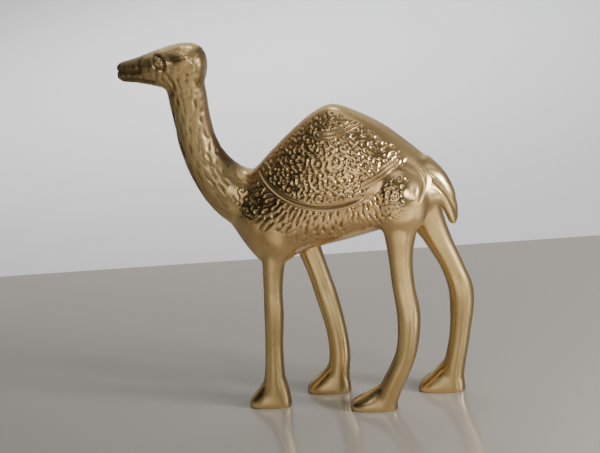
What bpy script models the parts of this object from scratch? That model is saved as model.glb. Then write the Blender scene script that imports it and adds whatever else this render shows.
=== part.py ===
"""A small solid brass figurine of a camel with one hump, 80 mm tall.

The figure is first made whole: lofted forms for trunk, neck, head, legs, feet and tail are fused into one
casting, and its soles are cut flat. It is then parted into its named parts with thin cuts. The eyes and
ears are forms of their own, each in a socket.

Frame: the camel faces -Y, its left side is +X, and its four soles stand on Z = 0. The origin is at the
middle of the figure's footprint box. All sizes below are in millimetres.
"""

import math

import bmesh
import bpy
import numpy as np
from mathutils import Matrix, Vector

MM = 0.001

# Driving dimensions.
POLL_Z = 80.0  # top of the head
NOSE_Y = -23.2  # front of the lips
HUMP_Y, HUMP_Z = 21.0, 66.0  # crest of the hump
CHEST_Z = 31.9  # lowest point of the chest
BODY_HALF_WIDTH = 8.6  # at the belly
LEG_TOP_X = 4.6  # legs leave the body this far from the middle
FOOT_HALF_WIDTH = 2.4

# Fusing the forms into one casting.
RING_POINTS = 40
TRUNK_STEPS, HEAD_STEPS, BAR_STEPS, LEG_STEPS, FOOT_STEPS = 5, 4, 5, 6, 4  # new rows for each row of a table
EYE_SEGMENTS, EYE_RINGS = 12, 8
EAR_SEGMENTS, EAR_RINGS = 14, 8
VOXEL = 0.42
SMOOTH_STEPS = 10
TRIANGLES_WANTED = 5400

# Parting it. The lines are in side view, and the part lies to the left of the way from start to end.
CUT = 0.32  # width of the thin cuts
REACH = 60.0  # cutters run this far past the figure
CUT_LINES = {
    "head": ((-16.0, 68.7), (-3.0, 74.0)),
    "neck": ((-6.2, 41.0), (1.2, 53.6)),
}
CLOTH_ARC_CENTRE, CLOTH_ARC_RADIUS = (19.3, 66.5), 19.4  # the saddle cloth's lower edge frees the hump
ARC_POINTS = 64
SLEEVE_POINTS = 24
LEG_CUT_SLANT = 0.84  # rise of a leg's upper cut for each step out from the middle
LEG_SLEEVE = 0.7  # room round a leg inside its cutter
FOOT_END_ROOM = 4.5  # room past the toe and past the heel
FOOT_SIDE_ROOM = 1.5
FOOT_END_Z = 6.0  # the cutter has its full room from here down
BELOW_SOLE = 2.0
TAIL_SLEEVE = 0.6
BELOW_TAIL = 4.0
PARTS = [
    "head",
    "eye_left",
    "eye_right",
    "ear_left",
    "ear_right",
    "neck",
    "hump",
    "trunk",
    "tail",
    "leg_front_left",
    "leg_front_right",
    "leg_hind_left",
    "leg_hind_right",
]
FREED_FROM = {
    "head": ["eye_left", "eye_right", "ear_left", "ear_right"],
    "neck": ["head"],
    "hump": ["neck"],
    "trunk": ["neck", "hump", "tail", "leg_front_left", "leg_front_right", "leg_hind_left", "leg_hind_right"],
}

# Trunk with its hump, as upright sections: (y, bottom, top, height of the widest point, half width).
TRUNK = [
    (-3.0, 39.9, 50.2, 44.6, 2.8),
    (0.0, 35.3, 51.3, 43.6, 5.2),
    (3.2, CHEST_Z, 52.9, 43.0, 6.9),
    (7.0, 32.6, 56.4, 43.5, 7.7),
    (12.0, 35.0, 60.7, 44.6, 8.3),
    (16.5, 36.4, 64.1, 45.4, BODY_HALF_WIDTH),
    (HUMP_Y, 37.5, HUMP_Z, 46.0, BODY_HALF_WIDTH),
    (26.0, 38.9, 64.2, 46.6, 8.5),
    (31.0, 40.4, 61.2, 47.2, 8.0),
    (35.5, 42.2, 57.4, 47.2, 6.9),
    (38.8, 43.6, 54.4, 47.2, 5.1),
    (40.8, 44.8, 52.2, 47.1, 3.4),
    (42.0, 45.8, 49.6, 47.0, 1.5),
]
TRUNK_UPPER_POWER = 1.5  # below 2 the flanks run up to the ridge like a tent
TRUNK_LOWER_POWER = 2.2
RIDGE_FLAT = 0.9  # the ridge is filed down by this much, which leaves a narrow flat along the back

# Head: the same kind of section, from the back of the skull to the lips.
HEAD = [
    (-4.0, 74.4, 77.3, 75.9, 1.5),
    (-4.9, 71.8, 79.1, 75.9, 2.75),
    (-7.0, 70.2, POLL_Z, 75.8, 3.35),
    (-9.5, 69.6, 79.9, 75.6, 3.6),
    (-12.0, 70.3, 79.4, 75.6, 3.6),
    (-14.2, 71.1, 78.8, 75.3, 3.2),
    (-16.6, 71.7, 78.1, 75.0, 2.75),
    (-19.2, 72.2, 77.3, 74.8, 2.45),
    (-21.2, 72.4, 76.8, 74.6, 2.35),
    (-22.6, 72.7, 76.5, 74.7, 2.1),
    (NOSE_Y, 73.5, 76.1, 74.8, 1.4),
]
HEAD_POWER = 2.3

# Bars follow a path in side view: (y, z, half depth in side view, half width across).
NECK = [
    (7.0, 43.5, 8.2, 6.2),
    (1.8, 45.4, 7.0, 5.3),
    (-3.1, 48.5, 5.8, 4.5),
    (-6.5, 53.2, 4.6, 3.9),
    (-8.3, 58.4, 4.1, 3.45),
    (-8.8, 63.8, 3.9, 3.3),
    (-9.0, 68.6, 4.1, 3.3),
    (-9.1, 73.0, 4.1, 3.3),
]
TAIL = [
    (37.2, 52.4, 3.4, 2.9),
    (40.1, 49.6, 3.1, 2.6),
    (42.0, 46.8, 2.4, 2.15),
    (42.9, 44.4, 1.75, 1.8),
    (43.3, 42.4, 1.35, 1.5),
    (43.5, 40.7, 1.05, 1.2),
    (43.5, 40.0, 0.6, 0.8),
]

SOLE_OVERCUT = 0.9  # how far the feet reach below the floor before the soles are cut flat

# Each leg: its joints from the body down to the ankle as bar rows, the sole's middle x, and its foot's
# toe y, length and instep, which is how steeply it rises above its toes.
LEGS = {
    "leg_front_left": {
        "joints": [
            (8.2, 41.5, 3.8, 2.7),
            (5.9, 34.5, 2.5, 2.3),
            (4.6, 27.5, 2.05, 1.95),
            (3.9, 21.5, 2.1, 2.0),
            (2.9, 15.0, 1.95, 1.8),
            (2.1, 9.0, 2.1, 1.9),
            (1.4, 4.0, 2.5, 2.1),
            (1.2, -SOLE_OVERCUT, 2.4, 2.0),
        ],
        "sole_x": 3.5,
        "toe_y": -4.7,
        "foot_length": 9.1,
        "instep": 1.3,
    },
    "leg_front_right": {
        "joints": [
            (8.8, 41.5, 3.8, 2.7),
            (10.3, 34.5, 2.7, 2.3),
            (11.95, 28.0, 2.35, 2.0),
            (13.15, 22.0, 2.4, 2.05),
            (14.25, 15.0, 2.25, 1.9),
            (14.4, 9.0, 2.3, 1.95),
            (13.5, 4.0, 2.4, 2.1),
            (13.1, -SOLE_OVERCUT, 2.3, 2.0),
        ],
        "sole_x": -3.4,
        "toe_y": 6.2,
        "foot_length": 9.6,
        "instep": 1.0,
    },
    "leg_hind_left": {
        "joints": [
            (33.8, 46.5, 5.4, 3.3),
            (33.5, 41.0, 3.6, 2.9),
            (32.9, 35.0, 2.55, 2.3),
            (32.7, 28.5, 2.35, 2.05),
            (33.0, 21.5, 2.45, 2.15),
            (31.4, 13.0, 2.2, 1.95),
            (27.3, 5.0, 2.3, 2.1),
            (24.8, -SOLE_OVERCUT, 2.3, 2.0),
        ],
        "sole_x": 4.1,
        "toe_y": 17.9,
        "foot_length": 10.1,
        "instep": 0.65,
    },
    "leg_hind_right": {
        "joints": [
            (34.6, 46.5, 5.2, 3.3),
            (36.3, 40.5, 3.9, 2.9),
            (38.6, 34.5, 2.8, 2.4),
            (40.9, 28.5, 2.4, 2.1),
            (42.1, 22.3, 2.65, 2.2),
            (40.7, 13.0, 2.2, 1.95),
            (38.5, 4.4, 2.3, 2.1),
            (37.8, -SOLE_OVERCUT, 2.3, 2.0),
        ],
        "sole_x": -4.9,
        "toe_y": 30.5,
        "foot_length": 10.0,
        "instep": 1.0,
    },
}

# Foot, from the toe's tip to the heel: (share of the length, height, share of the half width).
FOOT_WIDEST_Z = 0.4
FOOT_POWER = 2.0
TOE_HEIGHT = 2.2
FOOT = [
    (0.00, 0.9, 0.30),
    (0.05, 1.8, 0.66),
    (0.16, 2.9, 0.92),
    (0.32, 4.1, 1.00),
    (0.50, 5.8, 0.97),
    (0.68, 7.8, 0.88),
    (0.84, 8.4, 0.78),
    (0.95, 5.6, 0.66),
    (1.00, 2.8, 0.40),
]

# Muscles that swell out of each flank: middle x, y and z, then half sizes in x, y and z.
MUSCLES = {
    "shoulder": (3.7, 7.6, 41.5, 4.3, 4.8, 8.0),
    "haunch": (4.3, 33.6, 46.6, 4.2, 6.3, 7.2),
}

# Ear: the two ends of its length along the skull, and its half sizes across.
EAR_ROOT = (3.05, -9.6, 77.5)
EAR_TIP = (3.6, -6.0, 78.2)
EAR_HALF_THICKNESS = 0.7
EAR_HALF_HEIGHT = 1.0

EYE_PLACE = (2.95, -12.8, 77.1)
EYE_RADIUS = 1.0

# Finishes.
SHARP_ANGLE = math.radians(50.0)  # edges sharper than this aren't shaded smooth
BRASS = {"colour": (0.60, 0.42, 0.16, 1.0), "roughness": 0.26, "metallic": 1.0}
CHASED_BRASS = {"colour": (0.50, 0.34, 0.13, 1.0), "roughness": 0.38, "metallic": 1.0}


def clear_scene():
    """Remove whatever the file opened with."""
    for obj in list(bpy.data.objects):
        bpy.data.objects.remove(obj, do_unlink=True)


def material(name, look):
    """A Principled material with one of the finishes above."""
    made = bpy.data.materials.new(name)
    made.use_nodes = True
    shader = made.node_tree.nodes["Principled BSDF"]
    shader.inputs["Base Color"].default_value = look["colour"]
    shader.inputs["Roughness"].default_value = look["roughness"]
    shader.inputs["Metallic"].default_value = look["metallic"]
    return made


def add_object(name, mesh):
    """Put a mesh into the scene as an object of that name."""
    obj = bpy.data.objects.new(name, mesh)
    bpy.context.scene.collection.objects.link(obj)
    return obj


def smooth_rows(rows, steps):
    """Rows of numbers resampled along a Catmull-Rom curve, with steps new rows for each old one."""
    points = np.array(rows, float)
    padded = np.vstack([2 * points[0] - points[1], points, 2 * points[-1] - points[-2]])
    made = []
    for i in range(1, len(padded) - 2):
        before, start, end, after = padded[i - 1 : i + 3]
        for t in np.arange(steps) / steps:
            made.append(
                0.5
                * (
                    2 * start
                    + (end - before) * t
                    + (2 * before - 5 * start + 4 * end - after) * t**2
                    + (3 * start - before - 3 * end + after) * t**3
                )
            )
    return np.array(made + [points[-1]])


def rounded(value, power):
    """The superellipse's curve: the sign of value times its size to the power 2 / power."""
    return np.sign(value) * np.abs(value) ** (2.0 / power)


def loft(rings):
    """A closed mesh through rings of points, all with the same count, with a flat cap at each end."""
    bm = bmesh.new()
    loops = [[bm.verts.new(Vector(point) * MM) for point in ring] for ring in rings]
    count = len(loops[0])
    for near, far in zip(loops, loops[1:]):
        for i in range(count):
            j = (i + 1) % count
            bm.faces.new((near[i], near[j], far[j], far[i]))
    bm.faces.new(loops[0])
    bm.faces.new(loops[-1])
    bmesh.ops.recalc_face_normals(bm, faces=bm.faces)
    return bm


def upright_rings(rows, upper_power, lower_power, middle_x=0.0, flat=0.0):
    """Rings that stand across Y: superellipses with their own upper half, which may be filed flat on top."""
    turn = np.linspace(0.0, 2 * math.pi, RING_POINTS, endpoint=False)
    power = np.where(np.sin(turn) >= 0, upper_power, lower_power)
    rings = []
    for y, bottom, top, widest, half_width in rows:
        height = np.where(np.sin(turn) >= 0, top + flat - widest, widest - bottom)
        x = middle_x + half_width * rounded(np.cos(turn), power)
        z = np.minimum(widest + height * rounded(np.sin(turn), power), top)
        rings.append(np.column_stack([x, np.full(RING_POINTS, y), z]))
    return rings


def bar_rings(rows):
    """Rings for a bar that follows (x, y, z) with a half depth in side view and a half width across."""
    rows = np.asarray(rows, float)
    path = rows[:, :3]
    along = np.gradient(path, axis=0)
    turn = np.linspace(0.0, 2 * math.pi, RING_POINTS, endpoint=False)
    rings = []
    for point, direction, depth, width in zip(path, along, rows[:, 3], rows[:, 4]):
        _, run, rise = direction / np.linalg.norm(direction)
        across = np.array([0.0, -rise, run]) / math.hypot(run, rise)
        sideways = np.array([1.0, 0.0, 0.0])
        rings.append(
            point
            + np.outer(np.cos(turn) * depth, across)
            + np.outer(np.sin(turn) * width, sideways)
        )
    return rings


def level_rings(rows):
    """Level rings round (x, y, z), with a half depth along Y and a half width along X."""
    turn = np.linspace(0.0, 2 * math.pi, SLEEVE_POINTS, endpoint=False)
    return [
        np.column_stack([x + width * np.sin(turn), y + depth * np.cos(turn), np.full(SLEEVE_POINTS, z)])
        for x, y, z, depth, width in rows
    ]


def ellipsoid(place, half_sizes, segments=32, rings=20):
    """A closed ball stretched to three half sizes."""
    bm = bmesh.new()
    bmesh.ops.create_uvsphere(bm, u_segments=segments, v_segments=rings, radius=1.0)
    bmesh.ops.scale(bm, vec=Vector(half_sizes) * MM, verts=bm.verts)
    bmesh.ops.translate(bm, vec=Vector(place) * MM, verts=bm.verts)
    return bm


def leg_rows(leg):
    """A leg's joints as bar rows whose x runs evenly from the body's line to the sole's."""
    joints = np.array(leg["joints"])
    height = joints[:, 1] / joints[0, 1]
    top_x = math.copysign(LEG_TOP_X, leg["sole_x"])
    return np.column_stack([leg["sole_x"] + (top_x - leg["sole_x"]) * height, joints])


def foot_rows(leg):
    """The foot's upright sections, from the toe's tip back to the heel."""
    share, height, width = np.array(FOOT).T
    y = leg["toe_y"] + share * leg["foot_length"]
    top = np.minimum(height, TOE_HEIGHT) + leg["instep"] * np.maximum(height - TOE_HEIGHT, 0.0)
    bottom = np.full(len(FOOT), -SOLE_OVERCUT)
    widest = np.full(len(FOOT), FOOT_WIDEST_Z)
    return np.column_stack([y, bottom, top, widest, FOOT_HALF_WIDTH * width])


def ear_form(side, grow):
    """A leaf-shaped ear that lies back along the skull, grown by some margin for its socket."""
    root, tip = (Vector((side * x, y, z)) for x, y, z in (EAR_ROOT, EAR_TIP))
    half_length = (tip - root).length / 2
    half_sizes = [size + grow for size in (EAR_HALF_THICKNESS, half_length, EAR_HALF_HEIGHT)]
    turned = (tip - root).to_track_quat("Y", "Z").to_matrix().to_4x4()
    bm = bmesh.new()
    bmesh.ops.create_uvsphere(bm, u_segments=EAR_SEGMENTS, v_segments=EAR_RINGS, radius=1.0)
    bmesh.ops.scale(bm, vec=Vector(half_sizes) * MM, verts=bm.verts)
    bmesh.ops.transform(bm, matrix=Matrix.Translation((root + tip) / 2 * MM) @ turned, verts=bm.verts)
    return bm


def eye_form(side, grow):
    """A round eye, grown by some margin for its socket."""
    x, y, z = EYE_PLACE
    return ellipsoid((side * x, y, z), (EYE_RADIUS + grow,) * 3, EYE_SEGMENTS, EYE_RINGS)


def trunk_rings():
    """The trunk's rings, whose tops are filed flat along the back."""
    rows = smooth_rows(TRUNK, TRUNK_STEPS)
    return upright_rings(rows, TRUNK_UPPER_POWER, TRUNK_LOWER_POWER, flat=RIDGE_FLAT)


def forms():
    """Every closed form that the casting is fused from."""
    made = [
        loft(trunk_rings()),
        loft(upright_rings(smooth_rows(HEAD, HEAD_STEPS), HEAD_POWER, HEAD_POWER)),
    ]
    for rows in (NECK, TAIL):
        made.append(loft(bar_rings(smooth_rows([(0.0, *row) for row in rows], BAR_STEPS))))
    for leg in LEGS.values():
        foot = smooth_rows(foot_rows(leg), FOOT_STEPS)
        made.append(loft(bar_rings(smooth_rows(leg_rows(leg), LEG_STEPS))))
        made.append(loft(upright_rings(foot, FOOT_POWER, FOOT_POWER, leg["sole_x"])))
    for side in (1, -1):
        for x, y, z, *half_sizes in MUSCLES.values():
            made.append(ellipsoid((side * x, y, z), half_sizes))
    return made


def joined(parts):
    """One mesh that holds all the forms, which still pass through each other."""
    whole = bmesh.new()
    for bm in parts:
        piece = bpy.data.meshes.new("piece")
        bm.to_mesh(piece)
        bm.free()
        whole.from_mesh(piece)
        bpy.data.meshes.remove(piece)
    mesh = bpy.data.meshes.new("forms")
    whole.to_mesh(mesh)
    whole.free()
    return mesh


def evaluated_mesh(obj):
    """The object's mesh with its modifiers worked out."""
    graph = bpy.context.evaluated_depsgraph_get()
    return bpy.data.meshes.new_from_object(obj.evaluated_get(graph))


def helper(name, bm):
    """A cutter: it shapes other objects and isn't part of the figure."""
    mesh = bpy.data.meshes.new(name)
    bm.to_mesh(mesh)
    bm.free()
    obj = add_object(name, mesh)
    obj.hide_render = True
    obj.display_type = "WIRE"
    return obj


def floor_cutter():
    """A block that fills the space below the floor, which cuts the soles flat."""
    side = 2 * REACH * MM
    bm = bmesh.new()
    bmesh.ops.create_cube(bm, size=side)
    bmesh.ops.translate(bm, vec=(0.0, 0.0, -side / 2), verts=bm.verts)
    return helper("floor_cutter", bm)


def side_of_line(name, start, end, grow):
    """All that lies to the left of a line in side view, from (y, z) start to end, out to a long reach."""
    start, end = Vector(start), Vector(end)
    along = (end - start).normalized()
    left = Vector((-along.y, along.x))
    near = (start - left * grow, end - left * grow)
    corners = (
        near[0] - along * REACH,
        near[1] + along * REACH,
        near[1] + along * REACH + left * REACH,
        near[0] - along * REACH + left * REACH,
    )
    rings = [[(x, corner.x, corner.y) for corner in corners] for x in (-REACH, REACH)]
    return helper(name, loft(rings))


def disc(name, y, z, radius):
    """A cylinder cutter that lies across the figure."""
    turn = np.linspace(0.0, 2 * math.pi, ARC_POINTS, endpoint=False)
    circle = np.column_stack([y + radius * np.cos(turn), z + radius * np.sin(turn)])
    rings = [np.column_stack([np.full(ARC_POINTS, x), circle]) for x in (-REACH, REACH)]
    return helper(name, loft(rings))


def boolean(obj, operation, cutter):
    """Add a Boolean modifier that keeps or cuts away what lies in the cutter."""
    modifier = obj.modifiers.new(f"{operation.lower()}_{cutter.name}", "BOOLEAN")
    modifier.operation = operation
    modifier.object = cutter
    modifier.solver = "EXACT"


def fused_casting():
    """The whole figure as one light mesh with flat soles."""
    raw = add_object("casting", joined(forms()))
    fuse = raw.modifiers.new("fuse", "REMESH")
    fuse.mode = "VOXEL"
    fuse.voxel_size = VOXEL * MM
    blend = raw.modifiers.new("blend", "SMOOTH")
    blend.factor = 0.5
    blend.iterations = SMOOTH_STEPS
    fused = evaluated_mesh(raw)
    triangles = sum(len(face.vertices) - 2 for face in fused.polygons)
    thin = raw.modifiers.new("thin_out", "DECIMATE")
    thin.ratio = TRIANGLES_WANTED / triangles
    floor = floor_cutter()
    boolean(raw, "DIFFERENCE", floor)
    casting = evaluated_mesh(raw)
    bpy.data.objects.remove(raw)
    bpy.data.objects.remove(floor)
    return casting


def leg_space(name, grow):
    """A sleeve of level rings round one leg. Its top slants up and out along the belly."""
    leg = LEGS[name]
    rows = leg_rows(leg)[1:-2]
    rows[:, 3:] += LEG_SLEEVE + grow
    foot_y = leg["toe_y"] + leg["foot_length"] / 2
    foot_room = (leg["foot_length"] / 2 + FOOT_END_ROOM, FOOT_HALF_WIDTH + FOOT_SIDE_ROOM)
    around_foot = [(leg["sole_x"], foot_y, z, *foot_room) for z in (FOOT_END_Z, -BELOW_SOLE)]
    rings = level_rings(np.vstack([rows, around_foot]))
    top = rings[0]
    top[:, 2] += grow + LEG_CUT_SLANT * (np.abs(top[:, 0]) - abs(rows[0, 0]))
    return helper(f"sleeve_{name}_{grow:g}", loft(rings))


def tail_space(grow):
    """A sleeve round the tail, from its root down past its tip."""
    rows = np.array([(0.0, *row) for row in TAIL])[1:]
    along = rows[1, :3] - rows[0, :3]
    rows[0, :3] -= along / np.linalg.norm(along) * grow
    rows[:, 3:] += TAIL_SLEEVE + grow
    past_tip = rows[-1].copy()
    past_tip[2] -= BELOW_TAIL
    return helper(f"sleeve_tail_{grow:g}", loft(bar_rings(np.vstack([rows, past_tip]))))


def space(name, grow):
    """The cutter for one named part, grown for the cut that frees its neighbour."""
    side = -1 if name.endswith("right") else 1
    if name in LEGS:
        return leg_space(name, grow)
    if name.startswith("ear"):
        return helper(f"socket_{name}_{grow:g}", ear_form(side, grow))
    if name.startswith("eye"):
        return helper(f"socket_{name}_{grow:g}", eye_form(side, grow))
    if name == "tail":
        return tail_space(grow)
    if name == "hump":
        return disc(f"space_hump_{grow:g}", *CLOTH_ARC_CENTRE, CLOTH_ARC_RADIUS + grow)
    return side_of_line(f"space_{name}_{grow:g}", *CUT_LINES[name], grow)


def part(name, casting):
    """One named part, cut out of the whole casting and freed from the parts that meet it."""
    if name[:3] in ("eye", "ear"):
        own = space(name, 0.0)
        obj = add_object(name, own.data)
        bpy.data.objects.remove(own)
        return obj
    obj = add_object(name, casting.copy())
    if name != "trunk":
        boolean(obj, "INTERSECT", space(name, 0.0))
    for other in FREED_FROM.get(name, []):
        boolean(obj, "DIFFERENCE", space(other, CUT))
    return obj


def footprint_middle(mesh):
    """The middle of the mesh's footprint box, on the floor."""
    points = np.empty(3 * len(mesh.vertices))
    mesh.vertices.foreach_get("co", points)
    points = points.reshape(-1, 3)
    middle = (points.min(axis=0) + points.max(axis=0)) / 2
    return Vector((middle[0], middle[1], 0.0))


def main():
    clear_scene()
    brass = material("cast brass", BRASS)
    chased = material("chased brass", CHASED_BRASS)
    casting = fused_casting()
    for name in PARTS:
        obj = part(name, casting)
        obj.data.materials.clear()
        obj.data.materials.append(chased if name == "hump" else brass)
        obj.data.shade_smooth()
        obj.data.set_sharp_from_angle(angle=SHARP_ANGLE)
    figure = add_object("figure", None)
    figure.location = -footprint_middle(casting)
    for obj in bpy.data.objects:
        if obj != figure:
            obj.parent = figure
    bpy.data.meshes.remove(casting)


main()
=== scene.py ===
# %% [markdown]
# # A small brass camel
# The real figure is one solid brass casting, 80 mm tall, with a single hump. It is cast smooth and plump, its
# legs and neck are filed and polished, and a saddle cloth is chased into its flanks with small punches.
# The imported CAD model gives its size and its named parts. This script gives it one unbroken metal skin, the
# chased cloth, the eyes and the worn brass, and keeps inside the CAD model's box.

import math

import bpy
import numpy as np
from mathutils import Matrix, Vector


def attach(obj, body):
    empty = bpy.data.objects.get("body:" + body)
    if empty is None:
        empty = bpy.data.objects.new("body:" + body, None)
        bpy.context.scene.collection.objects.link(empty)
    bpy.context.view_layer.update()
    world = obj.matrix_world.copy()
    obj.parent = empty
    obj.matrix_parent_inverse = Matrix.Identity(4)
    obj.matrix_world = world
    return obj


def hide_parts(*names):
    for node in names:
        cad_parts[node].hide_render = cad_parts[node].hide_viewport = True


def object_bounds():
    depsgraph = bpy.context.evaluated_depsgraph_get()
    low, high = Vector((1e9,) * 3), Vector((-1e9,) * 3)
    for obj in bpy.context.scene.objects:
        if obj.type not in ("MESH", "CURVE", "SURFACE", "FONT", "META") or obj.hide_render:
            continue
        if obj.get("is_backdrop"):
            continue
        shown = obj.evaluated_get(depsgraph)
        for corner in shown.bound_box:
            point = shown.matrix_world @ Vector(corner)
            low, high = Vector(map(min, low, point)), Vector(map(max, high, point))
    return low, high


MM = 0.001
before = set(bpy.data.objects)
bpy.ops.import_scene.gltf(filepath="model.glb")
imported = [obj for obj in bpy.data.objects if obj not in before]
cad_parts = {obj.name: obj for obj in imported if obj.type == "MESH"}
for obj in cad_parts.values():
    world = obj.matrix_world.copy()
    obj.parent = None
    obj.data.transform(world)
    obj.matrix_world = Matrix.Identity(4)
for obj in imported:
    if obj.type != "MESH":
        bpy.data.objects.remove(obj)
cad_low, cad_high = (np.array(corner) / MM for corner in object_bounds())
print("CAD box in mm:", cad_low.round(2), cad_high.round(2))

# %% [markdown]
# ## Sizes
# Everything below is worked out in millimetres. The camel faces -Y, its left flank is +X and its soles are
# at z = 0, as in the CAD model. The tables repeat the CAD model's own forms, because the skin is built from
# the same forms at a finer grain: few numbers, with smooth curves through them.

# %% The trunk, head, neck and tail
POLL_Z = 80.0  # top of the head
HUMP_Y, HUMP_Z = 21.0, 66.0  # crest of the hump
BODY_HALF_WIDTH = 8.6
TRUNK = [  # upright sections: y, bottom, top, height of the widest point, half width
    (-3.0, 39.9, 50.2, 44.6, 2.8),
    (0.0, 35.3, 51.3, 43.6, 5.2),
    (3.2, 31.9, 52.9, 43.0, 6.9),
    (7.0, 32.6, 56.4, 43.5, 7.7),
    (12.0, 35.0, 60.7, 44.6, 8.3),
    (16.5, 36.4, 64.1, 45.4, BODY_HALF_WIDTH),
    (HUMP_Y, 37.5, HUMP_Z, 46.0, BODY_HALF_WIDTH),
    (26.0, 38.9, 64.2, 46.6, 8.5),
    (31.0, 40.4, 61.2, 47.2, 8.0),
    (35.5, 42.2, 57.4, 47.2, 6.9),
    (38.8, 43.6, 54.4, 47.2, 5.1),
    (40.8, 44.8, 52.2, 47.1, 3.4),
    (42.0, 45.8, 49.6, 47.0, 1.5),
]
HEAD = [  # the same kind of section, from the back of the skull to the lips
    (-4.0, 74.4, 77.3, 75.9, 1.5),
    (-4.9, 71.8, 79.1, 75.9, 2.75),
    (-7.0, 70.2, POLL_Z, 75.8, 3.35),
    (-9.5, 69.6, 79.9, 75.6, 3.6),
    (-12.0, 70.3, 79.4, 75.6, 3.6),
    (-14.2, 71.1, 78.8, 75.3, 3.2),
    (-16.6, 71.7, 78.1, 75.0, 2.75),
    (-19.2, 72.2, 77.3, 74.8, 2.45),
    (-21.2, 72.4, 76.8, 74.6, 2.35),
    (-22.6, 72.7, 76.5, 74.7, 2.1),
    (-23.2, 73.5, 76.1, 74.8, 1.4),
]
NECK = [  # a bar along a path in side view: y, z, half depth, half width
    (7.0, 43.5, 8.2, 6.2),
    (1.8, 45.4, 7.0, 5.3),
    (-3.1, 48.5, 5.8, 4.5),
    (-6.5, 53.2, 4.6, 3.9),
    (-8.3, 58.4, 4.1, 3.45),
    (-8.8, 63.8, 3.9, 3.3),
    (-9.0, 68.6, 4.1, 3.3),
    (-9.1, 73.0, 4.1, 3.3),
]
TAIL = [
    (37.2, 52.4, 3.4, 2.9),
    (40.1, 49.6, 3.1, 2.6),
    (42.0, 46.8, 2.4, 2.15),
    (42.9, 44.4, 1.75, 1.8),
    (43.3, 42.4, 1.35, 1.5),
    (43.5, 40.7, 1.05, 1.2),
    (43.5, 40.0, 0.6, 0.8),
]
TRUNK_UPPER_POWER, TRUNK_LOWER_POWER, HEAD_POWER, FOOT_POWER = 1.5, 2.2, 2.3, 2.0
RIDGE_FLAT = 0.9  # a narrow flat filed along the top of the back
print("trunk", len(TRUNK), "head", len(HEAD), "neck", len(NECK), "tail", len(TAIL), "sections")

# %% The legs, feet, muscles, ears and eyes
LEG_TOP_X = 4.6  # the legs leave the body this far from the middle
OVERCUT = 0.9  # the feet reach below the floor by this much before they are cut flat
LEFT_FORE = [  # rows of y, z, half depth, half width, from the body down to the sole
    (8.2, 41.5, 3.8, 2.7), (5.9, 34.5, 2.5, 2.3), (4.6, 27.5, 2.05, 1.95), (3.9, 21.5, 2.1, 2.0),
    (2.9, 15.0, 1.95, 1.8), (2.1, 9.0, 2.1, 1.9), (1.4, 4.0, 2.5, 2.1), (1.2, -OVERCUT, 2.4, 2.0),
]
RIGHT_FORE = [
    (8.8, 41.5, 3.8, 2.7), (10.3, 34.5, 2.7, 2.3), (11.95, 28.0, 2.35, 2.0), (13.15, 22.0, 2.4, 2.05),
    (14.25, 15.0, 2.25, 1.9), (14.4, 9.0, 2.3, 1.95), (13.5, 4.0, 2.4, 2.1), (13.1, -OVERCUT, 2.3, 2.0),
]
LEFT_HIND = [
    (33.8, 46.5, 5.4, 3.3), (33.5, 41.0, 3.6, 2.9), (32.9, 35.0, 2.55, 2.3), (32.7, 28.5, 2.35, 2.05),
    (33.0, 21.5, 2.45, 2.15), (31.4, 13.0, 2.2, 1.95), (27.3, 5.0, 2.3, 2.1), (24.8, -OVERCUT, 2.3, 2.0),
]
RIGHT_HIND = [
    (34.6, 46.5, 5.2, 3.3), (36.3, 40.5, 3.9, 2.9), (38.6, 34.5, 2.8, 2.4), (40.9, 28.5, 2.4, 2.1),
    (42.1, 22.3, 2.65, 2.2), (40.7, 13.0, 2.2, 1.95), (38.5, 4.4, 2.3, 2.1), (37.8, -OVERCUT, 2.3, 2.0),
]
LEGS = [  # with the sole's x, the toe's y, the foot's length and its instep
    (LEFT_FORE, (3.5, -4.7, 9.1, 1.3)),
    (RIGHT_FORE, (-3.4, 6.2, 9.6, 1.0)),
    (LEFT_HIND, (4.1, 17.9, 10.1, 0.65)),
    (RIGHT_HIND, (-4.9, 30.5, 10.0, 1.0)),
]
FOOT_HALF_WIDTH, FOOT_WIDEST_Z, TOE_HEIGHT = 2.4, 0.4, 2.2
FOOT = [  # from the toe's tip to the heel: share of the length, height, share of the half width
    (0.00, 0.9, 0.30),
    (0.05, 1.8, 0.66),
    (0.16, 2.9, 0.92),
    (0.32, 4.1, 1.00),
    (0.50, 5.8, 0.97),
    (0.68, 7.8, 0.88),
    (0.84, 8.4, 0.78),
    (0.95, 5.6, 0.66),
    (1.00, 2.8, 0.40),
]
SHOULDER = ((3.7, 7.6, 41.5), (4.3, 4.8, 8.0))  # middle, half sizes
HAUNCH = ((4.3, 33.6, 46.6), (4.2, 6.3, 7.2))
EAR_ROOT, EAR_TIP = np.array((3.05, -9.6, 77.5)), np.array((3.6, -6.0, 78.2))
EAR_HALF_THICKNESS, EAR_HALF_HEIGHT = 0.7, 1.0
EYE = np.array((2.95, -12.8, 77.1))
EYE_RADIUS = 1.0
print(len(LEGS), "legs")

# %% [markdown]
# ## Camera
# A long lens looks down at the figure from its left and a little behind. It keeps near and far legs at almost
# one size. The camera is rolled, as when it is held by hand, so that the figure leans to the left.

# %% The camera
VIEW_BACK = math.radians(20.0)  # how far the camera stands behind a straight side view
VIEW_UP = math.radians(22.0)
ROLL = math.radians(8.4)
LENS = 115.8
DISTANCE = 396.6
NEAREST = 0.01  # metres; nothing nearer to the camera is drawn
AIM_Y, AIM_DROP = 0.2, 0.3  # the camera aims at this y, this far below half the figure's height


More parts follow.
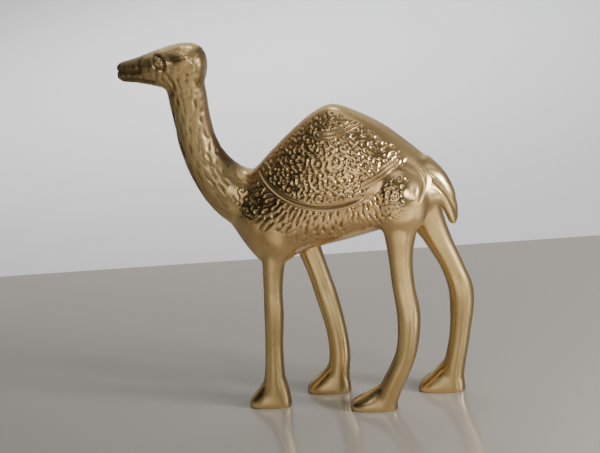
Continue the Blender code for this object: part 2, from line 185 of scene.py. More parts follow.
def aimed_camera(target):
    """A camera that looks at the target along the two view angles, its up axis turned by the roll."""
    flat = math.cos(VIEW_UP)
    back = Vector((math.cos(VIEW_BACK) * flat, math.sin(VIEW_BACK) * flat, math.sin(VIEW_UP)))
    level_right = (-back).cross(Vector((0.0, 0.0, 1.0))).normalized()
    level_up = level_right.cross(-back)
    right = level_right * math.cos(ROLL) - level_up * math.sin(ROLL)
    up = level_up * math.cos(ROLL) + level_right * math.sin(ROLL)
    data = bpy.data.cameras.new("camera")
    data.lens = LENS
    data.clip_start = NEAREST
    camera = bpy.data.objects.new("camera", data)
    bpy.context.scene.collection.objects.link(camera)
    turned = Matrix((right, up, back)).transposed().to_4x4()
    camera.matrix_world = Matrix.Translation(target + back * DISTANCE * MM) @ turned
    return camera


TARGET = Vector((0.0, AIM_Y, (cad_low[2] + cad_high[2]) / 2 - AIM_DROP)) * MM
bpy.context.scene.camera = aimed_camera(TARGET)
print("lens:", round(bpy.context.scene.camera.data.lens), "mm")

# %% [markdown]
# ## From arrays to a mesh
# All shapes are worked out as numpy arrays of points in millimetres. The helpers here draw smooth curves
# through few numbers, ease one value into another, and turn arrays into a mesh and back. Every object stays
# at the origin, with its place in its mesh.

# %% Helpers for meshes and arrays
BODY_STEPS, HEAD_STEPS, LEG_STEPS, LINE_STEPS, PATH_STEPS = 5, 4, 6, 6, 8  # points of a curve for each row


def smooth_rows(rows, steps):
    """A Catmull-Rom curve through the rows: between two rows the value is a cubic in t that leaves each row
    along the line between its neighbours."""
    rows = np.asarray(rows, float)
    rows = np.vstack([2 * rows[0] - rows[1], rows, 2 * rows[-1] - rows[-2]])
    before, start, end, after = (rows[i : len(rows) - 3 + i, None] for i in range(4))
    t = np.linspace(0.0, 1.0, steps, endpoint=False)[None, :, None]
    square = (2 * before - 5 * start + 4 * end - after) * t**2
    cube = (3 * start - before - 3 * end + after) * t**3
    curve = (2 * start + (end - before) * t + square + cube) / 2
    return np.vstack([curve.reshape(-1, rows.shape[1]), rows[-2]])


def ease(value, low, high):
    """0 below low, 1 above high, and 3t^2 - 2t^3 between them."""
    t = np.clip((value - low) / (high - low), 0.0, 1.0)
    return t * t * (3 - 2 * t)


def within(value, start, full, fading, end):
    """1 from full to fading, and eased to 0 at start and at end."""
    return ease(value, start, full) * ease(-value, -end, -fading)


def grid_faces(rows, columns, closed):
    """The four-cornered faces of a grid of points, whose last column joins the first if it is closed."""
    index = np.arange(rows * columns).reshape(rows, columns)
    if closed:
        index = np.hstack([index, index[:, :1]])
    corners = (index[:-1, :-1], index[:-1, 1:], index[1:, 1:], index[1:, :-1])
    return np.stack(corners, axis=-1).reshape(-1, 4)


def mesh_object(name, points, faces):
    """A new object whose mesh has these points, in metres, and faces."""
    mesh = bpy.data.meshes.new(name)
    mesh.from_pydata(points, [], faces)
    mesh.shade_smooth()
    made = bpy.data.objects.new(name, mesh)
    bpy.context.scene.collection.objects.link(made)
    return made


def three_columns(source, name):
    """A vector that each of a mesh's points carries, as an array of three columns."""
    values = np.empty(3 * len(source))
    source.foreach_get(name, values)
    return values.reshape(-1, 3)


def worked_out(made):
    """The object's mesh with its modifiers worked out, which becomes its own."""
    graph = bpy.context.evaluated_depsgraph_get()
    made.data = bpy.data.meshes.new_from_object(made.evaluated_get(graph))
    return made.data


def discard(made):
    """Remove an object that was only needed on the way, and its mesh."""
    mesh = made.data
    bpy.data.objects.remove(made)
    bpy.data.meshes.remove(mesh)


print("ease(0.5, 0, 1) =", ease(0.5, 0.0, 1.0))

# %% [markdown]
# ## The body's forms
# Trunk, head and feet are rings that stand upright across the body. Neck, tail and legs are bars, whose rings
# stand square to a path. A ring is a superellipse: like an ellipse, but with cos and sin raised to a power,
# so that it can be boxier, or lean like a tent.

# %% Rings
RING_POINTS = 40
BALL_RINGS, BALL_ENDS = 18, 0.02  # the flat ends cut off this share of the half turn from pole to pole
TURN = np.linspace(0.0, 2 * math.pi, RING_POINTS, endpoint=False)


def rounded(value, power):
    """The sign of the value times its size to the power 2 / power."""
    return np.sign(value) * np.abs(value) ** (2.0 / power)


def upright_rings(rows, upper_power, lower_power, middle_x=0.0, flat=0.0):
    """x = half width * cos, z = widest height + reach * sin, with their powers. The top is cut off level."""
    y, bottom, top, widest, half_width = (column[:, None] for column in np.asarray(rows, float).T)
    above = np.sin(TURN) >= 0
    power = np.where(above, upper_power, lower_power)
    reach = np.where(above, top + flat - widest, widest - bottom)
    x = middle_x + half_width * rounded(np.cos(TURN), power)
    z = np.minimum(widest + reach * rounded(np.sin(TURN), power), top)
    return np.stack([x, np.broadcast_to(y, x.shape), z], axis=-1)


def bar_rings(rows):
    """Ellipses round a path of x, y, z: half depth times cos across the path in side view, half width times
    sin sideways."""
    rows = np.asarray(rows, float)
    path, depth, width = rows[:, :3], rows[:, 3, None], rows[:, 4, None]
    along = np.gradient(path, axis=0)
    length = np.hypot(along[:, 1], along[:, 2])[:, None]
    x = path[:, :1] + width * np.sin(TURN)
    y = path[:, 1:2] - depth * np.cos(TURN) * along[:, 2:] / length
    z = path[:, 2:] + depth * np.cos(TURN) * along[:, 1:2] / length
    return np.stack([x, y, z], axis=-1)


def ball_rings(middle, axes):
    """Rings of an ellipsoid round its middle; the rows of axes are its three half axes."""
    tilt = np.linspace(BALL_ENDS, 1 - BALL_ENDS, BALL_RINGS)[:, None] * math.pi
    unit = (np.sin(tilt) * np.cos(TURN), np.cos(tilt) + 0 * TURN, np.sin(tilt) * np.sin(TURN))
    return np.asarray(middle) + np.stack(unit, axis=-1) @ np.asarray(axes)


def leg_rows(joints, sole_x):
    """The leg's joints with an x that runs evenly from the body's line down to the sole's."""
    joints = np.array(joints)
    height = joints[:, 1] / joints[0, 1]
    x = sole_x + (math.copysign(LEG_TOP_X, sole_x) - sole_x) * height
    return np.column_stack([x, joints])


print("ring points:", RING_POINTS)

# %% All forms together
def ear_axes(side):
    """The ear's half axes: its thickness sideways, its length along the skull, its height."""
    along = (EAR_TIP - EAR_ROOT) * (side, 1, 1) / 2
    thick = np.cross(along, (0.0, 0.0, 1.0))
    high = np.cross(thick, along)
    return (
        thick / np.linalg.norm(thick) * EAR_HALF_THICKNESS,
        along,
        high / np.linalg.norm(high) * EAR_HALF_HEIGHT,
    )


def foot_rows(toe_y, length, instep):
    """The foot's sections from toe to heel, whose height above the toes is scaled by the instep."""
    share, height, width = np.array(FOOT).T
    top = np.minimum(height, TOE_HEIGHT) + instep * np.maximum(height - TOE_HEIGHT, 0.0)
    low = np.full(len(FOOT), -OVERCUT)
    widest = np.full(len(FOOT), FOOT_WIDEST_Z)
    return np.column_stack([toe_y + share * length, low, top, widest, FOOT_HALF_WIDTH * width])


def body_forms():
    """Every closed form that the casting is fused from, as grids of rings."""
    trunk, head = smooth_rows(TRUNK, BODY_STEPS), smooth_rows(HEAD, HEAD_STEPS)
    made = [
        upright_rings(trunk, TRUNK_UPPER_POWER, TRUNK_LOWER_POWER, flat=RIDGE_FLAT),
        upright_rings(head, HEAD_POWER, HEAD_POWER),
    ]
    for rows in (NECK, TAIL):
        made.append(bar_rings(smooth_rows([(0.0, *row) for row in rows], BODY_STEPS)))
    for joints, (sole_x, *foot) in LEGS:
        made.append(bar_rings(smooth_rows(leg_rows(joints, sole_x), LEG_STEPS)))
        rows = smooth_rows(foot_rows(*foot), HEAD_STEPS)
        made.append(upright_rings(rows, FOOT_POWER, FOOT_POWER, sole_x))
    for side in (1, -1):
        for middle, half_sizes in (SHOULDER, HAUNCH):
            made.append(ball_rings(np.array(middle) * (side, 1, 1), np.diag(half_sizes)))
        made.append(ball_rings((EAR_ROOT + EAR_TIP) / 2 * (side, 1, 1), ear_axes(side)))
    return made


def joined(forms):
    """Points and faces of all the forms, each closed by a flat cap at both ends."""
    points, faces, count = [], [], 0
    for rings in forms:
        rows, columns = rings.shape[:2]
        points.append(rings.reshape(-1, 3))
        faces += (grid_faces(rows, columns, closed=True) + count).tolist()
        faces.append((np.arange(columns) + count).tolist())
        faces.append((np.arange(columns) + count + (rows - 1) * columns).tolist())
        count += rows * columns
    return np.vstack(points), faces


form_points, form_faces = joined(body_forms())
print(len(form_points), "points in the forms")

# %% [markdown]
# ## One skin
# The forms pass through each other like lumps of wax. A voxel remesh fuses them into one closed surface, and
# smoothing it rounds every joint, as a caster's wax is smoothed. The fused surface is then read back into
# numpy, shifted so that its box matches the CAD model's, and its soles are pressed flat on the floor.

# %% Fuse the forms
VOXEL = 0.31
SMOOTH_SHARE, SMOOTH_STEPS = 0.5, 18


def fused(points, faces):
    """The forms' outer surface as an even mesh of four-cornered faces, smoothed."""
    wax = mesh_object("wax", points * MM, faces)
    remesh = wax.modifiers.new("fuse", "REMESH")
    remesh.mode = "VOXEL"
    remesh.voxel_size = VOXEL * MM
    blend = wax.modifiers.new("blend", "SMOOTH")
    blend.factor = SMOOTH_SHARE
    blend.iterations = SMOOTH_STEPS
    mesh = worked_out(wax)
    corners = np.empty(len(mesh.loops), int)
    mesh.loops.foreach_get("vertex_index", corners)
    points = three_columns(mesh.vertices, "co") / MM
    normals = three_columns(mesh.vertex_normals, "vector")
    discard(wax)
    return points, corners.reshape(-1, 4), normals


base_points, skin_faces, base_normals = fused(form_points, form_faces)
base_points[:, 2] = np.maximum(base_points[:, 2], 0.0)
box_middle = (base_points.min(axis=0) + base_points.max(axis=0)) / 2
SHIFT = ((cad_low + cad_high) / 2 - box_middle) * (1, 1, 0)
print("skin:", len(skin_faces), "faces; shift", SHIFT.round(3), "mm")

# %% [markdown]
# ## Chasing tools
# A chaser draws lines and dots into the metal with punches, and packs a ground with many small strokes. The
# helpers here stand for those tools. They work in side view, on the y and z of the points, because the figure
# is chased flank by flank. Winding ridges and uneven strokes come from adding up plane waves, as ripples do
# on a pond, so they need no drawing and yet keep one even pitch, as a chaser's hand does.

# %% Lines and dots
def distance_to_line(y, z, corners):
    """Distance in side view to a line through the corners: to the nearest point of its nearest stretch."""
    corners = np.asarray(corners, float)
    start, step = corners[:-1], np.diff(corners, axis=0)
    from_start_y = y[..., None] - start[:, 0]
    from_start_z = z[..., None] - start[:, 1]
    share = (from_start_y * step[:, 0] + from_start_z * step[:, 1]) / (step**2).sum(axis=1)
    share = np.clip(share, 0.0, 1.0)
    gap = np.hypot(from_start_y - share * step[:, 0], from_start_z - share * step[:, 1])
    return gap.min(axis=-1)


def stroke(distance, depth, half_width):
    """depth * exp(-(distance / half width)^2): a groove or a raised line that fades out like a bell curve."""
    return depth * np.exp(-((distance / half_width) ** 2))


print("a stroke 1 deep, at its half width:", round(float(stroke(0.3, 1.0, 0.3)), 2))

# %% Ridges and strokes
WAVES = 24  # as many plane waves make a random pattern
RIDGE_PITCH, RIDGE_CHANCE = 1.15, (0.72, 1.7)  # mean distance of ridges; least and most share of it
STROKE_CHANCE = (0.75, 1.6)
NECK_SEED, TAIL_SEED, FACE_SEED, LEFT_SEED, RIGHT_SEED = 5, 6, 7, 11, 12
CUT = (0.2, 1.6)  # heights of a pattern at which it starts to be cut in, and is so fully


def waves(first, second, turn, pitch, phase):
    """The sum of cos(2 pi run / pitch + phase), where run = first * cos(turn) + second * sin(turn), scaled so
    that its usual size is 1."""
    run = first[..., None] * np.cos(turn) + second[..., None] * np.sin(turn)
    return np.cos(2 * math.pi * run / pitch + phase).sum(axis=-1) / math.sqrt(WAVES / 2)


def winding(y, z, seed):
    """Winding ridges: waves in all directions, each with its own seeded direction, pitch and phase."""
    chance = np.random.default_rng(seed)
    direction, phase = chance.uniform(0.0, 2 * math.pi, (2, WAVES))
    pitch = RIDGE_PITCH * chance.uniform(*RIDGE_CHANCE, WAVES)
    return waves(y, z, direction, pitch, phase)


def strokes(along, across, seed, slant, pitch):
    """Uneven strokes: waves that lie nearly along a path, with the slant's mean and spread."""
    chance = np.random.default_rng(seed)
    turn = chance.normal(*slant, WAVES)
    pitch = pitch * chance.uniform(*STROKE_CHANCE, WAVES)
    phase = chance.uniform(0.0, 2 * math.pi, WAVES)
    return waves(across, along, turn, pitch, phase)


print("waves in a pattern:", WAVES)

# %% [markdown]
# ## Head, neck, tail and toes
# The mouth is sawn in from the lips. The eye lies in a slanting almond between two low lids, with lines for
# jaw, cheek and nose round it. Long uneven strokes along neck and tail stand for hair, and shorter ones
# roughen the face. Each feature is a depth in millimetres, worked out at once for all points of the skin.
# Sizes of a stroke are its depth and its half width.

# %% The eye's lids
EYE_SLANT = math.radians(-47.0)
EYE_HALF_LENGTH, EYE_HALF_HEIGHT = 1.9, 1.0
EYE_GROOVE, LID = (0.24, 0.34), (0.10, 0.4)
LID_OUT = 0.55  # outside the groove
LID_END, LID_FADE = 0.5, 0.6  # it runs on past the almond's tips and fades there


def eye_depth(y, z):
    """A groove along an almond, whose half height falls as 1 - (along / half length)^2, and a lid outside."""
    off_y, off_z = y - EYE[1], z - EYE[2]
    along = off_y * math.cos(EYE_SLANT) + off_z * math.sin(EYE_SLANT)
    across = off_z * math.cos(EYE_SLANT) - off_y * math.sin(EYE_SLANT)
    outside = np.abs(across) - EYE_HALF_HEIGHT * (1 - (along / EYE_HALF_LENGTH) ** 2)
    near = ease(EYE_HALF_LENGTH + LID_END - np.abs(along), 0.0, LID_FADE)
    return near * (stroke(outside - LID_OUT, *LID) - stroke(outside, *EYE_GROOVE))


print("eye at", EYE)

# %% Lines of the head
FACE_LINES = [  # depth, half width, corners: mouth, jaw, cheek, nose
    (0.5, 0.34, [(-24.5, 75.15), (-21.0, 75.1), (-18.6, 75.0), (-17.6, 75.3)]),
    (0.22, 0.34, smooth_rows([(-21.5, 73.5), (-18.8, 73.4), (-14.6, 72.9)], LINE_STEPS)),
    (0.10, 0.4, smooth_rows([(-11.9, 75.6), (-10.9, 74.3), (-10.4, 72.2), (-10.8, 70.6)], LINE_STEPS)),
    (0.14, 0.4, smooth_rows([(-16.9, 77.9), (-17.6, 76.7), (-17.5, 75.2)], LINE_STEPS)),
]
NOSTRIL_X, NOSTRIL_Y, NOSTRIL_Z, NOSTRIL = 1.35, -22.1, 76.0, (0.45, 0.4)
FACE_CUTS = 0.09
EAR_LINE = [EAR_ROOT[1:] + 0.1, EAR_TIP[1:] - 0.2]
EAR_HOLLOW, EAR_INNER_X = (0.16, 0.5), 3.0


def head_depth(x, y, z):
    """Eyes, mouth, jaw, cheek, nose line and nostrils, and shallow uneven cuts all over the face."""
    depth = eye_depth(y, z)
    for deep, half_width, corners in FACE_LINES:
        depth -= stroke(distance_to_line(y, z, corners), deep, half_width)
    off_nostril = np.hypot(np.hypot(y - NOSTRIL_Y, z - NOSTRIL_Z), np.abs(x) - NOSTRIL_X)
    cuts = FACE_CUTS * ease(winding(y, z, FACE_SEED), *CUT)
    return depth - stroke(off_nostril, *NOSTRIL) - cuts


def ear_depth(x, y, z):
    """A groove along the outside of each ear."""
    return -stroke(distance_to_line(y, z, EAR_LINE), *EAR_HOLLOW) * (np.abs(x) > EAR_INNER_X)


print(len(FACE_LINES), "lines on the head")

# %% Strokes along the neck and the tail
NECK_PATH = smooth_rows(NECK, PATH_STEPS)
TAIL_PATH = smooth_rows(TAIL, PATH_STEPS)
HAIR_PITCH, HAIR_SLANT, HAIR_DEPTH = 1.25, (0.0, 0.28), 0.13
NECK_HEIGHTS = (44.0, 47.0, 74.0, 78.0)
NECK_ROOT = (-3.0, 1.0)  # the neck begins between these values of -y
TAIL_ROOT, TAIL_SIDES = (1.0, 3.0), (-3.4, -2.4)  # along it; minus the distance off its middle line
TAIL_HAIR = 0.6  # share of the neck's depth
TAIL_GROOVE, GROOVE_OUT = (0.3, 0.32), 0.75  # off the tail's middle line


def along_path(y, z, path):
    """How far along the path in side view the nearest of its samples lies, and how far off to its right."""
    step = np.gradient(path[:, :2], axis=0)
    step /= np.linalg.norm(step, axis=1, keepdims=True)
    run = np.r_[0.0, np.cumsum(np.hypot(*np.diff(path[:, :2], axis=0).T))]
    off_y, off_z = y[:, None] - path[:, 0], z[:, None] - path[:, 1]
    nearest = np.hypot(off_y, off_z).argmin(axis=1)
    rows = np.arange(len(y))
    off_y, off_z, step = off_y[rows, nearest], off_z[rows, nearest], step[nearest]
    return run[nearest] + off_y * step[:, 0] + off_z * step[:, 1], off_y * step[:, 1] - off_z * step[:, 0]


def neck_depth(y, z):
    """Hair along the neck, and a little of it on the face."""
    along, across = along_path(y, z, NECK_PATH)
    hair = ease(strokes(along, across, NECK_SEED, HAIR_SLANT, HAIR_PITCH), *CUT)
    return -HAIR_DEPTH * hair * within(z, *NECK_HEIGHTS) * ease(-y, *NECK_ROOT)


def tail_depth(y, z):
    """A groove along the tail, which parts its narrow outer band from the rest, and finer hair beside it."""
    along, across = along_path(y, z, TAIL_PATH)
    hair = ease(strokes(along, across, TAIL_SEED, HAIR_SLANT, HAIR_PITCH), *CUT)
    depth = stroke(across + GROOVE_OUT, *TAIL_GROOVE) + TAIL_HAIR * HAIR_DEPTH * hair
    return -depth * ease(along, *TAIL_ROOT) * ease(-np.abs(across), *TAIL_SIDES)


print("neck", round(float(NECK_PATH[:, 1].max() - NECK_PATH[:, 1].min()), 1), "mm high")

# %% [markdown]
# ## The saddle cloth's ornament
# The cloth covers both flanks from the ridge down to a double line, an arc round a point near the hump's
# crest. Above the line it is packed with winding ridges, curls and buds, two plain bands cross it, and below
# it hangs a fringe. The haunch carries a raised rim, punched dots and more curls. It is a traditional kind of
# pattern, and this layout is worked out here. Heights in these cells are shares of the full relief.

# %% Places on the cloth
ARC_CENTRE = (19.3, 66.5)
ARC_RADIUS = 19.2
CURLS_FROM, CURL_ROWS, CURL_COLUMNS = (-3.0, 43.0), 9, 13
CURL_SPACING, CURL_NUDGE, BUD_SHARE = 3.7, 0.6, 0.2
BANDS = [
    smooth_rows([(19.2, 61.2), (22.6, 61.4), (27.0, 62.9)], LINE_STEPS),
    smooth_rows([(28.0, 51.6), (31.3, 53.2), (34.6, 55.2)], LINE_STEPS),
]
TRUNK_CURVE = smooth_rows(TRUNK, BODY_STEPS)


def ridge_height(y):
    """Height of the back's ridge over a y."""
    return np.interp(y, TRUNK_CURVE[:, 0], TRUNK_CURVE[:, 2])


def off_arc(y, z):
    """How far a point lies outside the border's arc."""
    return np.hypot(y - ARC_CENTRE[0], z - ARC_CENTRE[1]) - ARC_RADIUS


def curl_centres(seed):
    """Centres in staggered rows, sqrt(3/4) of the spacing apart and nudged by chance, each with a hand, a
    start angle, and whether it is a bud."""
    chance = np.random.default_rng(seed)
    row, column = np.mgrid[0:CURL_ROWS, 0:CURL_COLUMNS]
    y = CURLS_FROM[0] + (column + 0.5 * (row % 2)) * CURL_SPACING
    z = CURLS_FROM[1] + row * CURL_SPACING * math.sqrt(0.75)
    count = y.size
    return (
        y.ravel() + chance.uniform(-CURL_NUDGE, CURL_NUDGE, count),
        z.ravel() + chance.uniform(-CURL_NUDGE, CURL_NUDGE, count),
        chance.choice([-1.0, 1.0], count),
        chance.uniform(0.0, 2 * math.pi, count),
        chance.random(count) < BUD_SHARE,
    )


print("curls and buds:", len(curl_centres(1)[0]))

# %% Curls, buds and fringe
CURL_PITCH = 1.15
BUD_PITCH = 1.25 * CURL_PITCH
CURL_REACH = (-1.8, -1.0)  # a curl starts and is whole between these values of -distance
CURL_OVER = 0.6  # share of the winding ridges that gives way to a curl
LAND, LAND_STEEP, LAND_CROWN = 0.7, 1.8, 0.25
LIFTED = 0.85  # raises the level at which the ridges turn into cuts, which makes the cuts narrower
FRINGE_PITCH, FRINGE_SLANT = 1.0, (0.25, 0.4)
FRINGE_FADE, FRINGE_FADES = 0.4, (1.0, 8.0)  # share of its height that is lost between two depths


def lands(height):
    """Broad lands with narrow cuts between them: the tanh of a lifted height, and a little of the height
    itself, which crowns the lands."""
    return LAND * np.tanh(LAND_STEEP * (height + LIFTED)) + LAND_CROWN * height


def field(y, z, seed):
    """Height from -1 to 1. Near a centre the ridges wind up into a curl, cos of 2 pi distance / pitch plus
    the angle round the centre, or close round a bud, cos of the distance alone."""
    centre_y, centre_z, hand, start, is_bud = curl_centres(seed)
    off_y, off_z = y[..., None] - centre_y, z[..., None] - centre_z
    gap = np.hypot(off_y, off_z)
    nearest = gap.argmin(axis=-1)[..., None]
    gap, off_y, off_z = (np.take_along_axis(each, nearest, -1)[..., 0] for each in (gap, off_y, off_z))
    nearest = nearest[..., 0]
    angle = hand[nearest] * np.arctan2(off_z, off_y) + start[nearest]
    curl = np.cos(2 * math.pi * gap / CURL_PITCH + angle)
    bud = np.cos(2 * math.pi * gap / BUD_PITCH)
    near = ease(-gap, *CURL_REACH)
    height = near * np.where(is_bud[nearest], bud, curl)
    return lands(height + (1 - CURL_OVER * near) * winding(y, z, seed))


def fringe(y, z, seed):
    """Uneven hanging strokes below the border, square to its arc, which fade downwards."""
    along_arc = np.arctan2(y - ARC_CENTRE[0], ARC_CENTRE[1] - z) * ARC_RADIUS
    below = off_arc(y, z)
    height = lands(strokes(below, along_arc, seed, FRINGE_SLANT, FRINGE_PITCH))
    return height * (1 - FRINGE_FADE * ease(below, *FRINGE_FADES))


print("a bud is", round(BUD_PITCH / 2, 2), "mm across")

# %% The haunch
HAUNCH_MIDDLE, HAUNCH_EDGE = (33.4, 49.0), (5.0, 6.0)
HAUNCH_BACK, HAUNCH_HEIGHTS = (-37.0, -33.5), (42.0, 45.0, 50.0, 52.0)  # of -y; of z
RIM = [(34.6, 54.7), (35.9, 53.9), (37.3, 52.7), (38.3, 51.2), (38.5, 49.8), (38.0, 48.2)]
RIM_CURVE = smooth_rows(RIM, LINE_STEPS)
RIM_LINE, RIM_GROOVE, RIM_GROOVE_OUT = (2.0, 0.5), (0.9, 0.4), 0.95
DOTS, DOTS_MIDDLE, DOTS_FLAT, DOT = 9, (34.4, 51.6), 0.7, (1.2, 0.3)
DOT_SPACING, DOT_TURN = 0.8, math.radians(137.5)
HAUNCH_CURLS, OFF_DOT, OFF_RIM = 0.8, (0.3, 0.7), (0.5, 1.0)  # their height, and where they begin


def rim_and_dots(y, z, seed):
    """The haunch: a raised rim with a groove outside it, and inside it punched dots among the field's curls.
    The dots lie on a sunflower's spiral, where dot n has a radius that grows with the root of n and a turn of
    137.5 degrees from the last."""
    from_rim = distance_to_line(y, z, RIM_CURVE)
    outside = ease(np.hypot(y - HAUNCH_MIDDLE[0], z - HAUNCH_MIDDLE[1]), *HAUNCH_EDGE)
    number = np.arange(1, DOTS + 1)
    radius = DOT_SPACING * np.sqrt(number)
    dot_y = DOTS_MIDDLE[0] + radius * np.cos(number * DOT_TURN)
    dot_z = DOTS_MIDDLE[1] + DOTS_FLAT * radius * np.sin(number * DOT_TURN)
    gap = np.hypot(y[..., None] - dot_y, z[..., None] - dot_z).min(axis=-1)
    curls = field(y, z, seed) * ease(-y, *HAUNCH_BACK) * within(z, *HAUNCH_HEIGHTS)
    inside = (HAUNCH_CURLS * curls * ease(gap, *OFF_DOT) - stroke(gap, *DOT)) * ease(from_rim, *OFF_RIM)
    groove = stroke(from_rim - RIM_GROOVE_OUT, *RIM_GROOVE)
    return stroke(from_rim, *RIM_LINE) - groove * outside + inside * (1 - outside)


print("haunch rim from", RIM[0], "to", RIM[-1])

# %% The whole cloth
RAISED, SUNK = 0.095, 0.18  # mm above and below the flank
# A zone starts at its first number and is full at its second. Two more say where it fades and ends.
ZONE_EDGE, FAR_EDGE = (0.7, 1.1), (0.8, 1.2)  # from the arc
FIELD_TOP = (0.6, 0.9)  # below the ridge
BORDER, BORDER_BACK = (-1.1, -0.7, 0.7, 1.1), (-28.5, -24.5)  # from the arc; of -y
BORDER_GROOVE, BORDER_LINE, BORDER_LINE_OUT = (1.7, 0.3), (0.4, 0.22), 0.55
FRINGE_ENDS, HAUNCH_FRONT = (2.0, 7.0, 29.5, 32.5), (28.5, 31.0)
SHOULDER_ENDS, SHOULDER_FOOT, SHOULDER_TOP = (-2.0, 2.0, 4.0, 8.0), (42.0, 46.0), (0.8, 1.8)
SHOULDER_SHARE = 0.45
BAND_EDGE, BAND_SUNK, BAND_LINE, BAND_LINE_OUT = (-0.95, -0.75), 0.4, (1.3, 0.24), 0.38


def chased(y, z, seed):
    """Height of the ornament in mm. Each zone fades into the next, and the bands lie over them."""
    outside = off_arc(y, z)
    below_ridge = ridge_height(y) - z
    in_field = ease(-outside, *ZONE_EDGE) * ease(below_ridge, *FIELD_TOP)
    in_border = within(outside, *BORDER) * ease(-y, *BORDER_BACK)
    in_fringe = ease(outside, *ZONE_EDGE) * within(y, *FRINGE_ENDS)
    in_shoulder = SHOULDER_SHARE * ease(outside, *FAR_EDGE) * within(y, *SHOULDER_ENDS)
    in_shoulder *= ease(z, *SHOULDER_FOOT) * ease(below_ridge, *SHOULDER_TOP)
    in_haunch = ease(outside, *FAR_EDGE) * ease(y, *HAUNCH_FRONT)
    lines = stroke(np.abs(outside) - BORDER_LINE_OUT, *BORDER_LINE) - stroke(outside, *BORDER_GROOVE)
    height = field(y, z, seed) * (in_field + in_shoulder) + lines * in_border
    height += fringe(y, z, seed) * in_fringe + rim_and_dots(y, z, seed) * in_haunch
    for band in BANDS:
        gap = distance_to_line(y, z, band)
        over = ease(-gap, *BAND_EDGE)
        height = height * (1 - over) + over * (stroke(gap - BAND_LINE_OUT, *BAND_LINE) - BAND_SUNK)
    return np.where(height > 0, height * RAISED, height * SUNK)


sample = chased(np.linspace(8.0, 30.0, 400), np.full(400, 55.0), 1)
print("ornament from", sample.min().round(2), "to", sample.max().round(2), "mm")

# %% [markdown]
# ## Two sheets of relief
# The ornament needs points every 0.125 mm, much finer than the skin. So each flank gets its own relief sheet,
# a grid in side view that is pressed onto the plain skin and then raised and sunk by the ornament. Its rim
# dips just under the skin, and the skin is pressed in a little beneath it, so that no edge shows.

# %% Where the sheets lie
SHEET_FRONT, SHEET_BACK, SHEET_STEP = -2.4, 40.6, 0.125
RIDGE_GAP, BELLY_GAP = 0.15, 2.2
SHOULDER_EDGE, SHOULDER_DROP, SHOULDER_BACK = 41.4, 2.8, (9.0, 13.0)
TAIL_RISE, TAIL_FRONT = 1.8, (37.5, 40.6)


def sheet_top(y):
    """The sheet's upper edge, just below the filed ridge."""
    return ridge_height(y) - RIDGE_GAP


def sheet_bottom(y):
    """The sheet's lower edge: just above the belly's line, higher on the shoulder and below the tail."""
    belly = np.interp(y, TRUNK_CURVE[:, 0], TRUNK_CURVE[:, 1])
    shoulder = SHOULDER_EDGE - SHOULDER_DROP * ease(y, *SHOULDER_BACK)
    return np.maximum(belly + BELLY_GAP, shoulder) + TAIL_RISE * ease(y, *TAIL_FRONT)


def inside_sheet(y, z):
    """How far a point lies inside the sheet's edge in side view, in mm."""
    ends = np.minimum(y - SHEET_FRONT, SHEET_BACK - y)
    return np.minimum(ends, np.minimum(z - sheet_bottom(y), sheet_top(y) - z))


SHEET_COLUMNS = round((SHEET_BACK - SHEET_FRONT) / SHEET_STEP)
SHEET_ROWS = round((HUMP_Z - sheet_bottom(HUMP_Y)) / SHEET_STEP)
print("each sheet has", SHEET_ROWS, "rows of", SHEET_COLUMNS, "points")

# %% Press a grid onto the plain flank
OUTSIDE = 20.0  # the grid starts this far out, clear of the flank
IRON_STEPS = 12


def pressed_on(side, target):
    """A grid of points in side view whose x comes from a Shrinkwrap modifier that presses it onto the target
    along X. Averaging each point with its neighbours then irons out the target's facets."""
    y = np.linspace(SHEET_FRONT, SHEET_BACK, SHEET_COLUMNS)[:, None]
    share = np.linspace(0.0, 1.0, SHEET_ROWS)[None, :]
    z = sheet_bottom(y) + (sheet_top(y) - sheet_bottom(y)) * share
    points = np.stack([np.full(z.shape, side * OUTSIDE), np.broadcast_to(y, z.shape), z], axis=-1)
    sheet = mesh_object("sheet", points.reshape(-1, 3) * MM, grid_faces(*z.shape, closed=False))
    press = sheet.modifiers.new("press", "SHRINKWRAP")
    press.target = target
    press.wrap_method = "PROJECT"
    press.use_project_x = True
    press.use_positive_direction = side < 0
    press.use_negative_direction = side > 0
    points = three_columns(worked_out(sheet).vertices, "co").reshape(*z.shape, 3) / MM
    discard(sheet)
    for _ in range(IRON_STEPS):
        x = np.pad(points[..., 0], 1, mode="reflect", reflect_type="odd")
        points[..., 0] = (x[:-2, 1:-1] + x[2:, 1:-1] + x[1:-1, :-2] + x[1:-1, 2:] + 2 * x[1:-1, 1:-1]) / 6
    return points


def grid_normals(points, side):
    """Unit normals of a grid: the cross product of the steps along its two directions, facing outwards."""
    normal = np.cross(np.gradient(points, axis=0), np.gradient(points, axis=1))
    normal /= np.linalg.norm(normal, axis=-1, keepdims=True)
    return normal * side


plain_skin = mesh_object("plain_skin", base_points * MM, skin_faces)
flanks = {side: pressed_on(side, plain_skin) for side in (1, -1)}
discard(plain_skin)
print("widest x of the flanks:", *(np.abs(points[..., 0]).max().round(2) for points in flanks.values()))

# %% [markdown]
# ## What every piece carries
# Handled brass keeps a brown patina in its cuts. Each point carries a number from 0 to 1 for that patina and
# for painted shade. It comes from the shapes: how deep a cut is (patina), how far a corner closes in (patina
# and painted shade), and how squarely a surface faces forwards or backwards (painted shade, which darkens the
# fronts and backs of neck and legs).

# %% Finished pieces
FRONT_BACK_SHADE = (0.35, 0.95)  # |y| of the normal at which the painted shade on fronts and backs starts, and is full
